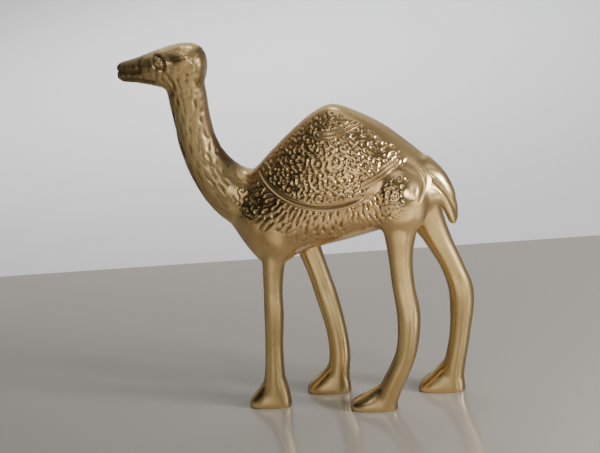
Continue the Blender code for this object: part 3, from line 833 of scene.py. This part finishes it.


def finished(name, points, faces, patina_and_shade, shading=None):
    """A piece in its final place: it rides on the body and carries a number for patina and painted shade at
    each point. Shading normals hide pressed rims and the mesh's lines."""
    made = mesh_object(name, (points + SHIFT) * MM, faces)
    if shading is not None:
        made.data.normals_split_custom_set_from_vertices(shading)
    layer = made.data.attributes.new("patina_and_shade", "FLOAT", "POINT")
    layer.data.foreach_set("value", np.clip(patina_and_shade, 0.0, 1.0).astype(np.float32))
    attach(made, "root")
    print(name, len(made.data.vertices), "points,", len(made.data.polygons), "faces")
    return made


def front_back_shade(normals):
    """Painted shade where a surface faces forwards or backwards, from how far its normal lies along y."""
    return ease(np.abs(normals[..., 1]), *FRONT_BACK_SHADE)


# %% The chased sheets
SHEET_FADE = (0.55, 1.05)  # the ornament starts and is full this far inside the sheet's edge
SHEET_RIM = (-0.7, 0.0)
SHEET_DULL, SHEET_CUT = 0.75, (0.1, 1.1)  # the cuts' patina, between two shares of the full depth
RIM_DIP, RIM_PROUD = 0.02, 0.006


def chased_sheet(name, side, seed):
    """One flank's relief: the pressed grid, moved along its normals by the ornament."""
    points = flanks[side]
    y, z = points[..., 1], points[..., 2]
    inside = inside_sheet(y, z)
    height = chased(y, z, seed) * ease(inside, *SHEET_FADE)
    lift = RIM_PROUD - (RIM_PROUD + RIM_DIP) * ease(-inside, *SHEET_RIM)
    outwards = grid_normals(points, side)
    shading = grid_normals(points + outwards * height[..., None], side)
    points = points + outwards * (height + lift)[..., None]
    faces = grid_faces(*y.shape, closed=False)
    if side > 0:
        faces = faces[:, ::-1]
    # Patina in the cuts, and painted shade where the flank turns forwards or backwards.
    patina_and_shade = SHEET_DULL * ease(-height / SUNK, *SHEET_CUT) + front_back_shade(outwards)
    shading = shading.reshape(-1, 3)
    return finished(name, points.reshape(-1, 3), faces, patina_and_shade.ravel(), shading)


cloth_left = chased_sheet("cloth_left", 1, LEFT_SEED)
cloth_right = chased_sheet("cloth_right", -1, RIGHT_SEED)

# %% [markdown]
# ## The skin
# Head, neck, tail, legs and feet carry only broad cuts, so the skin's own mesh is fine enough for them: each
# point moves along its normal by the depth of the features. The real casting is filed even before it is
# chased. Here that would take a far finer mesh, so the shading normals are evened out instead.

# %% Toes
CLEFT = (0.34, 0.3)
CLEFT_SHARE, CLEFT_FADE, CLEFT_TIP = 0.36, 1.2, (-2.0, -1.0)  # share of the foot's length, and its two ends
CLEFT_TOP, FOOT_REACH = (-4.6, -3.4), 2.5


def toe_depth(x, y, z):
    """A cleft between the two toes of each foot, over the front third of the foot."""
    depth = np.zeros(len(x))
    for _, (sole_x, toe_y, length, _) in LEGS:
        front = ease(toe_y + CLEFT_SHARE * length - y, 0.0, CLEFT_FADE) * ease(y - toe_y, *CLEFT_TIP)
        on_foot = ease(-z, *CLEFT_TOP) * (np.abs(x - sole_x) < FOOT_REACH)
        depth -= stroke(x - sole_x, *CLEFT) * front * on_foot
    return depth


print("toe clefts", CLEFT[0], "mm deep")

# %% Averages over the mesh
EDGE_ONE, EDGE_OTHER = np.vstack([np.roll(skin_faces, 1, axis=1).ravel(), skin_faces.ravel()])
NEIGHBOURS = np.bincount(EDGE_ONE) + np.bincount(EDGE_OTHER)
HOLLOW_STEPS, EVEN_STEPS = 100, 16


def around(values):
    """For each point of the skin, the mean value of its neighbours."""
    one_way = np.bincount(EDGE_ONE, values[EDGE_OTHER])
    return (one_way + np.bincount(EDGE_OTHER, values[EDGE_ONE])) / NEIGHBOURS


def spread(values, steps):
    """Each column of values, averaged half and half with its neighbours a number of times."""
    columns = values.T.copy()
    for _ in range(steps):
        columns = np.array([(column + around(column)) / 2 for column in columns])
    return columns.T


def closed_in(points, normals):
    """How far the surface closes in by itself: how far each point's neighbours rise above it along its
    normal, spread over the neighbourhood. It is used for the painted shade and patina in corners."""
    middle = np.stack([around(column) for column in points.T], axis=-1)
    rise = ((middle - points) * normals).sum(axis=1)
    return spread(rise[:, None], HOLLOW_STEPS)[:, 0]


print("mean neighbours of a point:", NEIGHBOURS.mean().round(2) / 2)

# %% Features and shading of the skin
FACES_SIDE, LIPS = (0.15, 0.5), (20.5, 22.0)  # |x| of the normal; -y
HEAD_Y, HEAD_Z = -4.0, 68.0
NECK_Y, NECK_LOW, NECK_HIGH = 4.0, 43.0, 79.0
TAIL_Y, TAIL_Z, TAIL_X = 38.5, 39.0, 3.4
FEET_Z = 6.0


def skin_depth(x, y, z):
    """How far all features sink or raise each point. Those that are drawn in side view fade where the skin
    turns forwards or backwards, except at the lips."""
    depth = np.zeros(len(x))
    side = ease(np.abs(base_normals[:, 0]), *FACES_SIDE)
    head = (y < HEAD_Y) & (z > HEAD_Z)
    neck = (y < NECK_Y) & (z > NECK_LOW) & (z < NECK_HIGH)
    tail = (y > TAIL_Y) & (z > TAIL_Z) & (np.abs(x) < TAIL_X)
    feet = z < FEET_Z
    depth[head] = head_depth(x[head], y[head], z[head])
    depth *= np.maximum(side, ease(-y, *LIPS))
    depth[head] += ear_depth(x[head], y[head], z[head])
    depth[neck] += neck_depth(y[neck], z[neck]) * side[neck]
    depth[tail] += tail_depth(y[tail], z[tail])
    depth[feet] += toe_depth(x[feet], y[feet], z[feet])
    return depth


def polished_normals(even, depth):
    """The skin's shading normals: the evened ones, plus the tilt that the features give."""
    trial = mesh_object("trial", (base_points + base_normals * depth[:, None]) * MM, skin_faces)
    normals = three_columns(trial.data.vertex_normals, "vector") - base_normals + even
    discard(trial)
    return normals / np.linalg.norm(normals, axis=1, keepdims=True)


base_depth = skin_depth(*base_points.T)
print("features from", base_depth.min().round(2), "to", base_depth.max().round(2), "mm")

# %% Make the skin
CUT_DULL, CUT_DEPTHS = 0.9, (0.02, 0.26)
# Painted shade with patina where the surface closes in, as between legs and body.
CORNER_SHADE_AND_PATINA, CORNER_RISES = 0.6, (-0.0005, 0.002)
MUZZLE_DULL, MUZZLE_ENDS = 0.45, (13.0, 20.5)  # between these values of -y the muzzle is made darker and duller
NECK_DULL = 0.36  # the neck is made a little darker and duller than the rest
PRESSED_IN, PRESSED_EDGE = 0.6, (0.5, 1.0)
OUTER_X, OUTER_NORMAL = 0.8, 0.1  # what faces outwards, off the middle, lies under a sheet


def make_skin(depth):
    """The fused skin, moved along its normals by its features, and pressed in beneath the sheets."""
    x, y, z = base_points.T
    even = spread(base_normals, EVEN_STEPS)
    on_neck = (z > NECK_LOW) & (z < NECK_HIGH)
    # Patina in the cuts, a darker and duller muzzle and neck, painted shade on fronts and backs, and patina
    # with painted shade where corners close in.
    patina_and_shade = CUT_DULL * ease(-depth, *CUT_DEPTHS) + MUZZLE_DULL * ease(-y, *MUZZLE_ENDS)
    patina_and_shade += NECK_DULL * ease(-y, *NECK_ROOT) * on_neck + front_back_shade(even)
    patina_and_shade += CORNER_SHADE_AND_PATINA * ease(closed_in(base_points, base_normals), *CORNER_RISES)
    outer = (base_normals[:, 0] * np.sign(x) > OUTER_NORMAL) * (np.abs(x) > OUTER_X)
    pressed = depth - PRESSED_IN * ease(inside_sheet(y, z), *PRESSED_EDGE) * outer
    points = base_points + base_normals * pressed[:, None]
    points[:, 2] = np.maximum(points[:, 2], 0.0)
    return finished("skin", points, skin_faces, patina_and_shade, polished_normals(even, depth))


skin = make_skin(base_depth)
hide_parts(*(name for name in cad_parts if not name.startswith("eye")))

# %% [markdown]
# ## The eyes
# Each eye is a small domed boss with a punched pupil. A ball would stand out too far, so it is flattened.

# %% Eye bosses
EYE_RINGS, EYE_SIDES = 24, 32
EYE_FLATNESS = 0.5
PUPIL, EYE_DULL, PUPIL_DULL = (0.16, 0.3), 0.5, (0.5, 0.28)


def eye_boss(name, side):
    """A low dome turned round the eye's axis: radius = sin of the tilt, height = cos of the tilt, flattened,
    less a small dent in its middle."""
    tilt = np.linspace(0.0, math.pi, EYE_RINGS + 1)[1:-1, None]
    turn = np.linspace(0.0, 2 * math.pi, EYE_SIDES + 1)[:-1]
    radius = EYE_RADIUS * np.sin(tilt)
    out = EYE_FLATNESS * EYE_RADIUS * np.cos(tilt) - stroke(radius, *PUPIL) * (np.cos(tilt) > 0)
    rings = np.stack([out + 0 * turn, radius * np.cos(turn), radius * np.sin(turn)], axis=-1)
    points = rings.reshape(-1, 3) * (side, side, 1)
    ends = np.array([[out[0, 0] * side, 0.0, 0.0], [out[-1, 0] * side, 0.0, 0.0]])
    faces = grid_faces(*rings.shape[:2], closed=True)[:, ::-1].tolist()
    first = np.arange(EYE_SIDES)
    second = np.roll(first, -1)
    last = len(points) - EYE_SIDES
    faces += np.stack([first * 0 + len(points), first, second], axis=-1).tolist()
    faces += np.stack([first * 0 + len(points) + 1, last + second, last + first], axis=-1).tolist()
    points = np.vstack([points, ends]) + EYE * (side, 1, 1)
    pupil = stroke(np.hypot(points[:, 1] - EYE[1], points[:, 2] - EYE[2]), *PUPIL_DULL)
    return finished(name, points, faces, EYE_DULL + pupil)


eyes = [eye_boss("eye_boss_left", 1), eye_boss("eye_boss_right", -1)]
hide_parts("eye_left")
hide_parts("eye_right")

# %% [markdown]
# ## Brass
# The brass is a metal whose colour, metallic share and roughness follow patina and painted shade to dark
# brown.
# Broad noise lets the tarnish drift in clouds, the middle of the body has a coppery blush, and a faint ripple
# keeps the mirror images from looking machined. To keep the recipe readable, shader maths is written as
# Python expressions on wrapped sockets.

# %% A small language for shader nodes
class Value:
    """One output socket. Arithmetic on it adds Math nodes to its tree."""

    def __init__(self, paint, socket):
        self.paint = paint
        self.socket = socket

    def math(self, operation, first, second):
        return self.paint.node("ShaderNodeMath", {"operation": operation}, {0: first, 1: second})

    def __add__(self, other):
        return self.math("ADD", self, other)

    def __sub__(self, other):
        return self.math("SUBTRACT", self, other)

    def __rsub__(self, other):
        return self.math("SUBTRACT", other, self)

    def __mul__(self, other):
        return self.math("MULTIPLY", self, other)

    __radd__ = __add__
    __rmul__ = __mul__


class Paint:
    """The nodes of a material or of the room, which lead to its own shader."""

    def __init__(self, owner, shader="Principled BSDF"):
        owner.use_nodes = True
        self.owner = owner
        self.tree = owner.node_tree
        self.shader = self.tree.nodes[shader]

    def node(self, kind, settings, inputs, output=0):
        """Add a node: its settings first, then the values or links of its sockets."""
        made = self.tree.nodes.new(kind)
        for name, setting in settings.items():
            setattr(made, name, setting)
        for name, given in inputs.items():
            self.feed(made.inputs[name], given)
        return Value(self, made.outputs[output])

    def feed(self, socket, given):
        """Give a socket a link or a constant."""
        if isinstance(given, Value):
            self.tree.links.new(given.socket, socket)
        else:
            socket.default_value = given

    def give(self, name, given):
        """Give one of the shader's own sockets a link or a constant."""
        self.feed(self.shader.inputs[name], given)

    def place(self, kind="Object"):
        """The object's own coordinates, in metres, or another output of Texture Coordinate."""
        return self.node("ShaderNodeTexCoord", {}, {}, kind)

    def noise(self, scale, detail):
        """Noise from 0 to 1 over the object's own coordinates, with scale in features per metre."""
        knobs = {"Vector": self.place(), "Scale": scale, "Detail": detail}
        return self.node("ShaderNodeTexNoise", {}, knobs, "Fac")

    def between(self, value, low, high):
        """The value eased from 0 at low to 1 at high."""
        knobs = {"Value": value, "From Min": low, "From Max": high}
        return self.node("ShaderNodeMapRange", {"interpolation_type": "SMOOTHSTEP"}, knobs)

    def mixed(self, factor, first, second):
        """One colour where the factor is 0, the other where it is 1. Sockets 6 and 7 are Mix's colours."""
        return self.node("ShaderNodeMix", {"data_type": "RGBA"}, {0: factor, 6: first, 7: second}, 2)


print("shader helpers ready")

# %% The brass
BRIGHT = (0.92, 0.68, 0.32, 1.0)
DULL = (0.64, 0.45, 0.18, 1.0)
COPPERY = (0.70, 0.40, 0.19, 1.0)
PATINA_AND_SHADE_COLOUR = (0.12, 0.075, 0.030, 1.0)
CLOUDS, CLOUD_EDGES = (140.0, 3.0), (0.35, 0.7)  # noise scale and detail; its values at 0 and at 1
BLUSH, BLUSH_EDGES = (90.0, 2.0), (0.5, 0.72)
RIPPLE, RIPPLE_STRENGTH, RIPPLE_HEIGHT = (420.0, 2.0), 0.35, 0.00006
CLOUD_SHARE, BLUSH_SHARE, BODY_SHARE, PATINA_AND_SHADE_SHARE = 0.45, 0.2, 0.4, 0.95
BODY_MIDDLE = tuple((flanks[1].mean(axis=(0, 1)) + SHIFT) * (0, 1, 1) * MM)
BODY_EDGES = (0.028, 0.012)  # metres from the body's middle
ROUGHNESS, CLOUD_ROUGH, PATINA_ROUGH = 0.19, 0.1, 0.16
PATINA_AND_SHADE_MATT = 0.3  # share of the metallic look that patina and painted shade take away


def brass(name):
    """Polished brass with tarnish in clouds, a coppery body, and dark brown for the patina in its hollows and
    for painted shade.
    """
    paint = Paint(bpy.data.materials.new(name))
    patina_and_shade = paint.node("ShaderNodeAttribute", {"attribute_name": "patina_and_shade"}, {}, "Fac")
    clouds = paint.between(paint.noise(*CLOUDS), *CLOUD_EDGES)
    blush = paint.between(paint.noise(*BLUSH), *BLUSH_EDGES)
    ends = {0: paint.place(), 1: BODY_MIDDLE}
    away = paint.node("ShaderNodeVectorMath", {"operation": "DISTANCE"}, ends, "Value")
    copper = blush * BLUSH_SHARE + paint.between(away, *BODY_EDGES) * BODY_SHARE
    colour = paint.mixed(clouds * CLOUD_SHARE, BRIGHT, DULL)
    colour = paint.mixed(copper, colour, COPPERY)
    paint.give("Base Color", paint.mixed(patina_and_shade * PATINA_AND_SHADE_SHARE, colour, PATINA_AND_SHADE_COLOUR))
    paint.give("Metallic", 1.0 - patina_and_shade * PATINA_AND_SHADE_MATT)
    paint.give("Roughness", clouds * CLOUD_ROUGH + patina_and_shade * PATINA_ROUGH + ROUGHNESS)
    bump = {"Strength": RIPPLE_STRENGTH, "Distance": RIPPLE_HEIGHT, "Height": paint.noise(*RIPPLE)}
    paint.give("Normal", paint.node("ShaderNodeBump", {}, bump))
    return paint.owner


metal = brass("cast_brass")
for piece in (skin, *eyes, cloth_left, cloth_right):
    piece.data.materials.append(metal)
print("finish:", metal.name)

# %% [markdown]
# ## Stand and light
# The figure stands on a strip of plain grey stone with a soft gloss. Behind lies pale paper, and in front
# pale polished stone, all at one level, so that the figure can be seen from all round. Brass shows its shape
# by what it mirrors: the stone, a dim room that is brighter above and behind, two large soft lamps, and
# three small ones close by, whose images are the crisp lights on neck, flank and legs. The last lamp only
# brightens the paper.

# %% Stone and paper
STAGE_REACH = 6000.0
STONE_EDGE = 77.0  # from the figure's middle back to the edge of the grey stone
STONE_DEPTH = 124.0  # its front edge lies outside the camera's view
STONE_TURN = math.radians(8.7)
POLISHED, MATT = 0.14, 0.7


def slab(name, front, back, colour, roughness):
    """A level strip of the stage between two distances in front of the stone's back edge, turned with it."""
    turned = Matrix.Rotation(STONE_TURN, 3, "Z")
    corners = [(front, -STAGE_REACH), (front, STAGE_REACH), (back, STAGE_REACH), (back, -STAGE_REACH)]
    points = [turned @ Vector((x - STONE_EDGE, y, 0.0)) * MM for x, y in corners]
    made = mesh_object(name, points, [(0, 1, 2, 3)])
    paint = Paint(bpy.data.materials.new(name))
    paint.give("Base Color", colour)
    paint.give("Roughness", roughness)
    made.data.materials.append(paint.owner)
    made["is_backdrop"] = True


slab("pale_stone", STAGE_REACH, STONE_DEPTH, (0.74, 0.70, 0.63, 1.0), POLISHED)
slab("stone", STONE_DEPTH, 0.0, (0.31, 0.285, 0.25, 1.0), POLISHED)
slab("paper", 0.0, -STAGE_REACH, (0.66, 0.66, 0.67, 1.0), MATT)
print("stage ready")

# %% Lamps
SMALL_LAMP_HEIGHT, SMALL_LAMP_AIM = 83, 46
SMALL_LAMPS = [  # name, turn, distance, size, watts
    ("near_front", 18, 170, 36.0, 0.034),
    ("near_right", 50, 170, 30.0, 0.13),
    ("far_right", 62, 230, 36.0, 0.65),
]


def round_figure(turn, distance, height):
    """A place in metres: turned to the right from the camera's side, in degrees, at a distance and height."""
    angle = VIEW_BACK + math.radians(turn)
    return Vector((math.cos(angle) * distance, math.sin(angle) * distance, height)) * MM


def soft_lamp(name, place, aim, size, power, opening=180.0):
    """A square soft lamp that faces from its place to its aim. It is seen in the metal but not by itself."""
    data = bpy.data.lights.new(name, "AREA")
    data.size = size * MM
    data.energy = power
    data.spread = math.radians(opening)
    made = bpy.data.objects.new(name, data)
    made.location = place
    made.rotation_euler = (aim - place).to_track_quat("-Z", "Y").to_euler()
    made.visible_camera = False
    bpy.context.scene.collection.objects.link(made)


soft_lamp("left_lamp", round_figure(-30, 564, 200), TARGET, 260.0, 0.36)
soft_lamp("ceiling", round_figure(0, 104, 631), TARGET, 330.0, 0.2)
soft_lamp("paper_lamp", round_figure(180, 260, 400), round_figure(180, 260, 0), 250.0, 0.54, opening=60.0)
for name, turn, distance, size, power in SMALL_LAMPS:
    place = round_figure(turn, distance, SMALL_LAMP_HEIGHT)
    soft_lamp(name, place, round_figure(0, 0, SMALL_LAMP_AIM), size, power)

# %% The room
LIGHTS = [(Vector((0.0, 0.0, 1.0)), 0.27), (round_figure(180, 1000, 268), 0.70)]  # above and behind


def light_from(sky, towards, strength):
    """The strength times the square of how far a direction leans towards a place, and 0 if it leans away."""
    ends = {0: sky.place("Generated"), 1: towards.normalized() * math.sqrt(strength)}
    lean = sky.node("ShaderNodeVectorMath", {"operation": "DOT_PRODUCT"}, ends, "Value")
    ahead = lean.math("MAXIMUM", lean, 0.0)
    return ahead * ahead


def room(name):
    """White light from above and from behind."""
    sky = Paint(bpy.data.worlds.new(name), "Background")
    above, behind = (light_from(sky, *light) for light in LIGHTS)
    sky.give("Strength", above + behind)
    sky.give("Color", (1.0, 1.0, 1.0, 1.0))
    return sky.owner


bpy.context.scene.world = room("room")
print("room ready")
